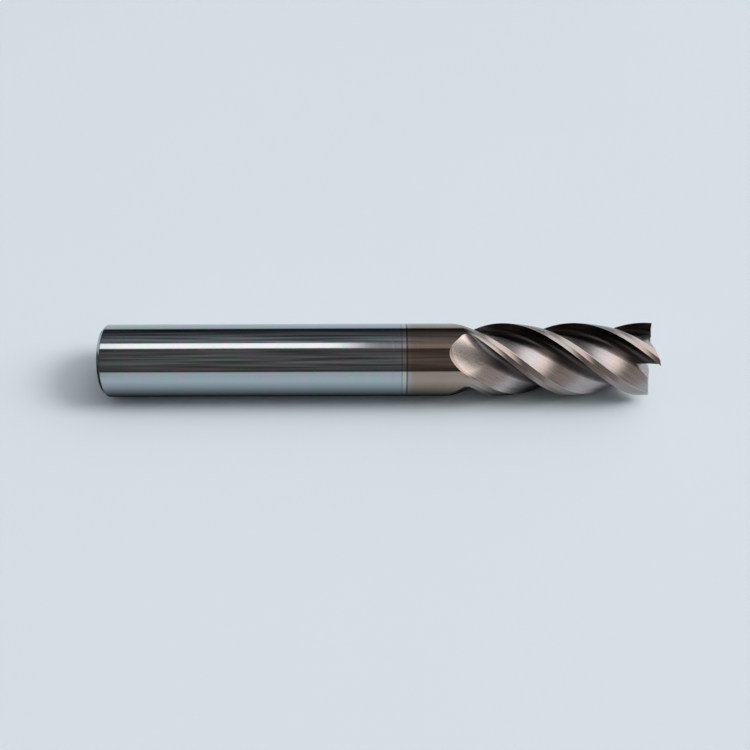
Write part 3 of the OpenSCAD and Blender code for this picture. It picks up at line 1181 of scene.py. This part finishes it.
@dataclass
class FluteRunout:
    """Zone in which the grinding wheel left the flutes, so that their floors rise to the surface."""

    sizes: ToolSizes
    section: ToothSection
    nodes: HelixNodes
    length: float = 4.9 * MM
    slant: float = 3.5 * MM
    land_fade: float = 2.6 * MM
    land_lead: float = 5.4 * MM
    rings: int = 110
    cut_points: int = 104
    bend_points: int = 12
    rim_points: int = 26
    samples: int = 160
    least_lift: float = 4 * MICRON
    least_trace: float = 2 * MICRON

    @property
    def far_way(self) -> float:
        """Way at which the flute's outline is past the surface."""
        _, _, back, land, _, _ = self.section.stations
        return back + 1.5 * (land - back)

    def lift(self, x: float, ahead: float) -> float:
        """How far the wheel has come out, at a station and an angle ahead of the cutting edge."""
        full_at = self.sizes.flute_start - self.slant * max(0.0, ahead) ** 1.5
        share = max(0.0, full_at - x) / self.length
        return max(self.least_lift, (self.section.radius - self.section.floor_radius) * share**2)

    def land_radius(self, x: float, behind: float) -> float:
        """Radius of the land, which fades out towards the shank."""
        begin = self.sizes.flute_start - self.land_lead
        share = min(1.0, max(0.0, (x - begin) / self.land_fade))
        share = share * share * (3 - 2 * share)
        radius = self.section.radius
        return radius - share * (radius - self.section.land_radius(behind))

    def height(self, x: float, way: float) -> float:
        """Height of the lifted flute over the surface."""
        point = self.section.flute_at(way)
        ahead = cmath.phase(point)
        _, _, back, land, _, _ = self.section.stations
        on_land = way > back + 0.75 * (land - back)
        surface = self.land_radius(x, self.section.pitch - ahead) if on_land else self.section.radius
        return abs(point) + self.lift(x, ahead) - surface

    def crossing(self, x: float, sunk: float, outside: float, inside: float) -> float:
        """Way at which the lifted flute goes below the surface, between an outside way and an inside one."""
        for _ in range(36):
            middle = (outside + inside) / 2
            if self.height(x, middle) > sunk:
                outside = middle
            else:
                inside = middle
        return (outside + inside) / 2

    def pitch_points(self, x: float) -> Ring:
        """One pitch of the section: the flute below the surface, then the land up to the next flute.

        Args:
            x: station of the section.

        Returns:
            The points of the pitch.
        """
        section = self.section
        ways = [self.far_way * i / self.samples for i in range(1, self.samples)]
        lowest, inside = min((self.height(x, way), way) for way in ways)
        sunk = max(0.0, lowest + self.least_trace)
        first = self.crossing(x, sunk, 0.0, inside)
        last = self.crossing(x, sunk, self.far_way, inside)
        cut = []
        for i in range(self.cut_points + 1):
            point = section.flute_at(first + (last - first) * i / self.cut_points)
            lifted = abs(point) + self.lift(x, cmath.phase(point)) - sunk
            cut.append(point / abs(point) * lifted)
        heel, next_cut = cmath.phase(cut[-1]), cmath.phase(cut[0]) + section.pitch
        bend = section.pitch + cmath.phase(section.primary_end)
        angles = [heel + (bend - heel) * i / self.bend_points for i in range(1, self.bend_points)]
        angles += [bend + (next_cut - bend) * i / self.rim_points for i in range(self.rim_points)]
        return cut + [self.land_radius(x, section.pitch - angle) * unit(angle) for angle in angles]

    def build(self, groups: Groups, finish: HelicalGround) -> None:
        """Loft the zone straight, then turn it along the helix.

        Args:
            groups: the shared shader groups.
            finish: the coated flute finish with its polished rim.
        """
        size = self.sizes
        span = size.flute_start - size.runout_start
        stations = [size.runout_node_start]
        stations += [size.runout_start + span * (i / self.rings) ** 1.6 for i in range(self.rings + 1)]
        per_pitch = self.cut_points + self.bend_points + self.rim_points
        count = per_pitch * self.section.teeth
        points: list[Vector] = []
        for x in stations:
            one = self.pitch_points(x)
            if x < size.runout_start:
                one = [p / abs(p) * self.section.radius for p in one]
            for k in range(self.section.teeth):
                turn = unit(k * self.section.pitch)
                points += [Vector((x, (p * turn).real, (p * turn).imag)) for p in one]
        material = finish.material(groups)
        loft = mesh_from("runout_loft", points, ring_faces(len(stations), count))
        mesh = self.nodes.apply(loft, SweepKind.LOFT, "runout", material)
        close_and_orient(mesh, math.radians(12))
        self._crease(mesh, count, per_pitch)
        finished(piece_from(mesh, "flute_runouts", material), "flute_runout")

    def _crease(self, mesh: bpy.types.Mesh, count: int, per_pitch: int) -> None:
        """Make the rims of the traces crisp edges.

        Args:
            mesh: the turned loft.
            count: points round one ring.
            per_pitch: points of one pitch.
        """
        sharp = mesh.attributes["sharp_edge"].data
        for edge in mesh.edges:
            first, second = edge.vertices
            column = first % count % per_pitch
            along = abs(first - second) == count
            if along and column in (0, self.cut_points) and min(first, second) >= count:
                sharp[edge.index].value = True


@dataclass
class EndGrinder:
    """Cutters that give the end its dish, reliefs and gashes."""

    sizes: ToolSizes
    section: ToothSection
    helix: Helix
    dish: float = math.radians(2)
    primary_relief: float = math.radians(8)
    secondary_relief: float = math.radians(20)
    primary_width: float = 0.7 * MM
    gash_fall: float = math.radians(30)
    gash_climb: float = math.radians(40)
    gash_depths: tuple[float, float] = (0.9 * MM, 0.45 * MM)
    gash_starts: tuple[float, float] = (-0.1 * MM, 0.35 * MM)
    reach: float = 2 * MM

    def _cutter(self, points: Sequence[tuple], faces: Sequence[Sequence[int]], tooth: int) -> bpy.types.Object:
        """Closed cutter in a tooth's own frame: station from the tip, outwards, ahead."""
        turn = self.helix.tip_turn + tooth * self.section.pitch
        place = Matrix.Translation((self.sizes.tip, 0, 0)) @ Matrix.Rotation(turn, 4, "X")
        mesh = mesh_from(f"cutter_{tooth}", [place @ Vector(p) for p in points], faces)
        shape = bmesh.new()
        shape.from_mesh(mesh)
        bmesh.ops.recalc_face_normals(shape, faces=shape.faces)
        shape.to_mesh(mesh)
        shape.free()
        cutter = bpy.data.objects.new(mesh.name, mesh)
        bpy.context.scene.collection.objects.link(cutter)
        return cutter

    def relief(self, tooth: int, offset: float, ahead_slope: float) -> bpy.types.Object:
        """Everything in front of a sloping plane, over the quarter of the end behind a tooth.

        Args:
            tooth: the tooth's index.
            offset: the plane's station at the axis, counted from the tip.
            ahead_slope: rise of the plane towards the tooth's edge.

        Returns:
            The cutter.
        """
        side = self.section.radius + self.reach
        corners = [(0.0, 0.0), (side, 0.0), (side, -side), (0.0, -side)]
        low = [(offset + out * math.tan(self.dish) + ahead * ahead_slope, out, ahead) for out, ahead in corners]
        high = [(self.reach, out, ahead) for out, ahead in corners]
        faces = [[0, 1, 2, 3], [4, 5, 6, 7], [0, 1, 5, 4], [1, 2, 6, 5], [2, 3, 7, 6], [3, 0, 4, 7]]
        return self._cutter(low + high, faces, tooth)

    def gash(self, tooth: int, start: float, depth: float) -> bpy.types.Object:
        """Notch ahead of an end tooth.

        Args:
            tooth: the tooth's index.
            start: distance from the centre at which the notch begins.
            depth: its depth there.

        Returns:
            The cutter.
        """
        outside = self.section.radius + self.reach
        low_out = -depth - (outside - start) * math.tan(self.gash_fall)
        climb = math.tan(self.gash_climb)
        points = [
            (-depth, start, 0.0),
            (low_out, outside, 0.0),
            (self.reach, start, 0.0),
            (self.reach, outside, 0.0),
            (self.reach, start, (self.reach + depth) / climb),
            (self.reach, outside, (self.reach - low_out) / climb),
        ]
        faces = [[0, 1, 3, 2], [0, 4, 5, 1], [2, 3, 5, 4], [0, 2, 4], [1, 5, 3]]
        return self._cutter(points, faces, tooth)

    def cutters(self) -> list[bpy.types.Object]:
        """All cutters of the end.

        Returns:
            Two relief cutters and a gash for each tooth.
        """
        hollow = self.section.radius * math.tan(self.dish)
        primary, secondary = math.tan(self.primary_relief), math.tan(self.secondary_relief)
        knee = self.primary_width * (secondary - primary)
        made = []
        for tooth in range(self.section.teeth):
            made.append(self.relief(tooth, -hollow, primary))
            made.append(self.relief(tooth, knee - hollow, secondary))
            made.append(self.gash(tooth, self.gash_starts[tooth % 2], self.gash_depths[tooth % 2]))
        return made


@dataclass
class FlutedEnd:
    """Core and helical teeth of the cutting part."""

    sizes: ToolSizes
    section: ToothSection
    nodes: HelixNodes
    grinder: EndGrinder
    sections: int = 251
    step: float = 0.06 * MM
    seat_share: float = 3 / 7
    edge_hone: float = 0.015 * MM
    heel_hone: float = 0.03 * MM
    sharp: float = math.radians(12)
    cutters: list[bpy.types.Object] = field(default_factory=list)

    @property
    def seat_way(self) -> float:
        """Way along the outline at which the core passes into the next tooth's back."""
        _, _, back, land, _, _ = self.section.stations
        return back + (land - back) * self.seat_share

    def tooth_ring(self) -> Ring:
        """Section of the first tooth.

        Returns:
            Its points from the seat over the back, the land and the rake face to the seat again.
        """
        section = self.section
        back = section.stretch(self.seat_way, section.stations[-1], self.step)
        behind = [p * unit(-section.pitch) for p in back]
        ring = behind + section.stretch(0.0, section.stations[2], self.step)[1:]
        ring = hone(ring, section.edge, self.edge_hone)
        return hone(ring, section.heel, self.heel_hone)

    def core_ring(self) -> Ring:
        """Section of the core.

        Returns:
            Its flute floors, joined by the straight seats of the teeth.
        """
        floor = self.section.stretch(self.section.stations[2], self.seat_way, self.step)
        return [p * unit(k * self.section.pitch) for k in range(self.section.teeth) for p in floor]

    def sweep(self, name: str, ring: Ring, material: bpy.types.Material, turn: float) -> bpy.types.Object:
        """Sweep a section along the helix and grind its end.

        Args:
            name: the piece's name.
            ring: the section.
            material: its finish.
            turn: its angle ahead of the first tooth.

        Returns:
            The piece.
        """
        size = self.sizes
        mesh = self.nodes.apply(
            section_mesh(name + "_section", ring),
            SweepKind.SECTION,
            name,
            material,
            turn,
            (size.flute_start, size.tip),
            self.sections,
        )
        close_and_orient(mesh, self.sharp)
        piece = piece_from(mesh, name, material)
        cut_with(piece, self.cutters, self.sharp)
        return piece

    def build(self, groups: Groups, flute: HelicalGround, tooth: HelicalGround) -> None:
        """Make the core and the four teeth.

        Args:
            groups: the shared shader groups.
            flute: finish of the core.
            tooth: finish of the teeth.
        """
        self.cutters = self.grinder.cutters()
        core = self.sweep("web_core", self.core_ring(), flute.material(groups), 0.0)
        finished(core, "core")
        material = tooth.material(groups)
        for index in range(self.section.teeth):
            name = f"helical_tooth_{index + 1}"
            piece = self.sweep(name, self.tooth_ring(), material, index * self.section.pitch)
            finished(piece, f"tooth_{index + 1}")
        for cutter in self.cutters:
            bpy.data.objects.remove(cutter)


# ---------------------------------------------------------------- stage


@dataclass(frozen=True)
class SkyBand:
    """Stretch of the surroundings, by angle over the tool from the front horizon."""

    angle: float
    level: float


@dataclass
class Studio:
    """Pale table, one soft key light, the camera and surroundings painted by direction.

    Angles over the tool count in degrees from the front horizon. Fields that end in _from or _until are the
    spans of a soft border: of the angle, or of the direction's part along the tool, which is -1 at the left and
    1 at the right.
    """

    sizes: ToolSizes
    table_half: float = 1.5
    elevation: float = math.radians(55)
    distance: float = 121.2 * MM
    lens: float = 42.13
    sensor: float = 36.0
    aim_station: float = 37.09 * MM
    aim_below: float = math.radians(0.99)
    camera_roll: float = math.radians(0.18)
    key_strength: float = 1.27
    key_spread: float = math.radians(20)
    key_lean_right: float = math.radians(48)
    key_lean_back: float = math.radians(-2)
    soft_sky: tuple[SkyBand, ...] = (
        SkyBand(0, 0.04),
        SkyBand(50, 0.10),
        SkyBand(62, 0.40),
        SkyBand(76, 1.05),
        SkyBand(88, 1.45),
        SkyBand(100, 1.15),
        SkyBand(112, 0.90),
        SkyBand(125, 0.35),
        SkyBand(180, 0.12),
    )
    sky_left: float = 0.28
    sky_right: float = 2.35
    sky_right_from: Span = (-0.45, 0.9)
    far_left: float = 0.15
    far_left_until: Span = (-0.46, -0.32)
    window_towards: tuple[float, float, float] = (0.50, 0.38, 0.78)
    window_inner: float = math.radians(15)
    window_outer: float = math.radians(44)
    window_level: float = 1.35
    window_from: Span = (0.10, 0.22)
    right_bands: tuple[SkyBand, ...] = (
        SkyBand(0, 0.42),
        SkyBand(20, 0.36),
        SkyBand(44, 0.30),
        SkyBand(58, 0.19),
        SkyBand(82, 0.19),
        SkyBand(92, 0.44),
        SkyBand(150, 0.60),
        SkyBand(180, 0.60),
    )
    right_from: Span = (0.13, 0.28)
    bands: tuple[SkyBand, ...] = (
        SkyBand(0, 0.66),
        SkyBand(15, 0.62),
        SkyBand(19, 0.03),
        SkyBand(26, 0.09),
        SkyBand(50, 0.13),
        SkyBand(84, 0.09),
        SkyBand(90, 0.06),
        SkyBand(92, 0.36),
        SkyBand(104, 0.38),
        SkyBand(108, 0.24),
        SkyBand(118, 0.22),
        SkyBand(140, 0.10),
        SkyBand(160, 0.025),
        SkyBand(172, 0.02),
        SkyBand(175, 0.5),
        SkyBand(180, 0.66),
    )
    lamp_from: Span = (92.5, 94.0)
    lamp_until: Span = (109.0, 111.0)
    lamp_left_until: Span = (-0.06, 0.0)
    lamp_level: float = 1.4
    cool: Colour = (0.97, 1.0, 1.02)
    warm: Colour = (1.13, 1.0, 0.93)
    warm_from: Span = (16.0, 22.0)
    warm_until: Span = (108.0, 114.0)
    olive: Colour = (1.04, 1.0, 0.88)
    olive_wall: Span = (58.0, 86.0)
    mottled_walls: tuple[Span, Span] = ((24.0, 88.0), (112.0, 168.0))
    mottled_until: Span = (0.10, 0.22)
    mottling: Span = (0.4, 1.6)
    green: Colour = (0.90, 1.06, 1.02)
    purple: Colour = (1.12, 0.94, 1.02)
    wall_border: float = 3.0
    patch_degrees: float = 7.0
    patches_along: float = 7.0

    def table(self) -> None:
        """Lay the table under the tool."""
        half, z = self.table_half, -self.sizes.radius
        corners = [Vector((x, y, z)) for x, y in ((-half, -half), (half, -half), (half, half), (-half, half))]
        mesh = mesh_from("table", corners, [[0, 1, 2, 3]])
        piece_from(mesh, "table", PaleTable().material())

    def surroundings(self) -> None:
        """Paint the room that reflections see, and the even light that matt surfaces see."""
        world = bpy.data.worlds.new("soft_room")
        world.use_nodes = True
        bpy.context.scene.world = world
        graph = Graph(world.node_tree)
        direction = graph.add("ShaderNodeTexCoord").outputs["Generated"]
        along, back, up = graph.parts(direction)
        share = graph.math("DIVIDE", graph.math("ARCTAN2", up, graph.product(back, -1.0)), math.pi)
        degrees = graph.product(share, 180.0)
        path = graph.add("ShaderNodeLightPath").outputs
        direct = graph.math("LESS_THAN", path["Diffuse Depth"], 0.5)
        reflected = graph.product(path["Is Glossy Ray"], direct)
        gain = graph.blend(graph.smoothstep(along, *self.sky_right_from), self.sky_left, self.sky_right)
        even = graph.product(self._levels(graph, share, self.soft_sky), gain)
        strength = graph.blend(reflected, even, self._room(graph, direction, share, degrees))
        tint = self._tint(graph, along, degrees, reflected)
        strength, tint = self._mottled(graph, along, degrees, reflected, strength, tint)
        background = graph.add("ShaderNodeBackground", {"Color": tint, "Strength": strength})
        graph.add("ShaderNodeOutputWorld", {0: background.outputs[0]})

    def _levels(self, graph: Graph, share: Socket, bands: Sequence[SkyBand]) -> Socket:
        """Brightness of bands by the angle over the tool, as a share of half a turn."""
        return graph.ramp(share, [(band.angle / 180, band.level) for band in bands])

    def _room(self, graph: Graph, direction: Socket, share: Socket, degrees: Socket) -> Socket:
        """Brightness of the room: bands, a lamp over the back end and a window over the teeth.

        Args:
            graph: the world's graph.
            direction: socket of the direction.
            share: socket of the angle over the tool, as a share of half a turn.
            degrees: socket of the same angle in degrees.

        Returns:
            Socket of the brightness.
        """
        along = graph.parts(direction)[0]
        lamp = graph.smoothstep(degrees, *self.lamp_from)
        lamp = graph.product(lamp, graph.inverse(graph.smoothstep(degrees, *self.lamp_until)))
        lamp = graph.product(lamp, graph.inverse(graph.smoothstep(along, *self.lamp_left_until)))
        left = graph.math("MULTIPLY_ADD", lamp, self.lamp_level, self._levels(graph, share, self.bands))
        right = self._levels(graph, share, self.right_bands)
        level = graph.blend(graph.smoothstep(along, *self.right_from), left, right)
        axis = tuple(Vector(self.window_towards).normalized())
        facing = graph.vector("DOT_PRODUCT", direction, axis, output="Value")
        window = graph.smoothstep(facing, math.cos(self.window_outer), math.cos(self.window_inner))
        window = graph.product(window, graph.smoothstep(along, *self.window_from))
        level = graph.math("MULTIPLY_ADD", window, self.window_level, level)
        dim = graph.blend(graph.smoothstep(along, *self.far_left_until), self.far_left, 1.0)
        return graph.product(level, dim)

    def _tint(self, graph: Graph, along: Socket, degrees: Socket, reflected: Socket) -> Socket:
        """Colour of the surroundings: warm walls in reflections, olive at the right, and cool elsewhere.

        Args:
            graph: the world's graph.
            along: socket of the direction's part along the tool.
            degrees: socket of the angle over the tool.
            reflected: mask of the reflections.

        Returns:
            Socket of the colour.
        """
        warm = graph.product(graph.smoothstep(degrees, *self.warm_from), reflected)
        warm = graph.product(warm, graph.inverse(graph.smoothstep(degrees, *self.warm_until)))
        tint = graph.mix(warm, self.cool, self.warm)
        olive = graph.between(degrees, *self.olive_wall, self.wall_border)
        olive = graph.product(olive, graph.smoothstep(along, *self.right_from), reflected)
        return graph.mix(olive, tint, self.olive)

    def _mottled(
        self, graph: Graph, along: Socket, degrees: Socket, reflected: Socket, strength: Socket, tint: Socket
    ) -> tuple[Socket, Socket]:
        """Mottle the darker walls of the room, left of the teeth.

        Args:
            graph: the world's graph.
            along: socket of the direction's part along the tool.
            degrees: socket of the angle over the tool.
            reflected: mask of the reflections.
            strength: socket of the brightness.
            tint: socket of the colour.

        Returns:
            Sockets of the brightness and of the colour.
        """
        across = graph.math("DIVIDE", degrees, self.patch_degrees)
        spread = graph.add("ShaderNodeCombineXYZ", {0: graph.product(along, self.patches_along), 1: across})
        value, hue, *_ = graph.noise(spread.outputs[0], 1.0)
        walls = [graph.between(degrees, *wall, self.wall_border) for wall in self.mottled_walls]
        plain = graph.inverse(graph.smoothstep(along, *self.mottled_until))
        mask = graph.product(graph.math("MAXIMUM", *walls), plain, reflected)
        low, high = self.mottling
        gain = graph.math("MULTIPLY_ADD", graph.smoothstep(value, 0.3, 0.7), high - low, low)
        cast = graph.mix(graph.smoothstep(hue, 0.4, 0.6), self.green, self.purple)
        tint = graph.mix(graph.product(mask, 0.8), tint, graph.vector("MULTIPLY", tint, cast))
        return graph.product(strength, graph.blend(mask, 1.0, gain)), tint

    def key(self) -> None:
        """Hang one large soft light over the tool, to the right and a little behind it."""
        light = bpy.data.lights.new("key", "SUN")
        light.energy = self.key_strength
        light.angle = self.key_spread
        lamp = bpy.data.objects.new("key", light)
        towards = Vector((math.tan(self.key_lean_right), math.tan(self.key_lean_back), 1.0))
        lamp.rotation_mode = "QUATERNION"
        lamp.rotation_quaternion = towards.to_track_quat("Z", "Y")
        lamp.visible_glossy = False
        bpy.context.scene.collection.objects.link(lamp)

    def camera(self) -> None:
        """Set the camera above the front of the tool."""
        data = bpy.data.cameras.new("camera")
        data.lens = self.lens
        data.sensor_width = self.sensor
        data.clip_start = MM
        data.clip_end = 10.0
        camera = bpy.data.objects.new("camera", data)
        back = Vector((0, -math.cos(self.elevation), math.sin(self.elevation)))
        pitch = math.pi / 2 - self.elevation - self.aim_below
        place = Matrix.Translation(Vector((self.aim_station, 0, 0)) + back * self.distance)
        tilt = Matrix.Rotation(pitch, 4, "X") @ Matrix.Rotation(-self.camera_roll, 4, "Z")
        camera.matrix_world = place @ tilt
        bpy.context.scene.collection.objects.link(camera)
        bpy.context.scene.camera = camera

    def build(self) -> None:
        """Set everything up."""
        self.table()
        self.surroundings()
        self.key()
        self.camera()
        bpy.context.scene.view_settings.view_transform = "Standard"


# ---------------------------------------------------------------- the whole


def main() -> None:
    """Build the tool's sub-assemblies in order, then the stage."""
    logging.basicConfig(level=logging.INFO, format="%(name)s: %(message)s")
    sizes = ToolSizes.from_frame()
    section = ToothSection(sizes.radius)
    helix = Helix(sizes.radius, sizes.tip)
    nodes = HelixNodes(helix)
    groups = Groups(helix, section)
    TurnedBar(sizes).build(groups, RoundGround("ground_carbide", coating_start=sizes.coating_start))
    FluteRunout(sizes, section, nodes).build(groups, HelicalGround("coated_runout", has_rim=True))
    end = FlutedEnd(sizes, section, nodes, EndGrinder(sizes, section, helix))
    end.build(groups, HelicalGround("coated_flute"), HelicalGround("coated_tooth"))
    Studio(sizes).build()


if __name__ == "__main__":
    main()
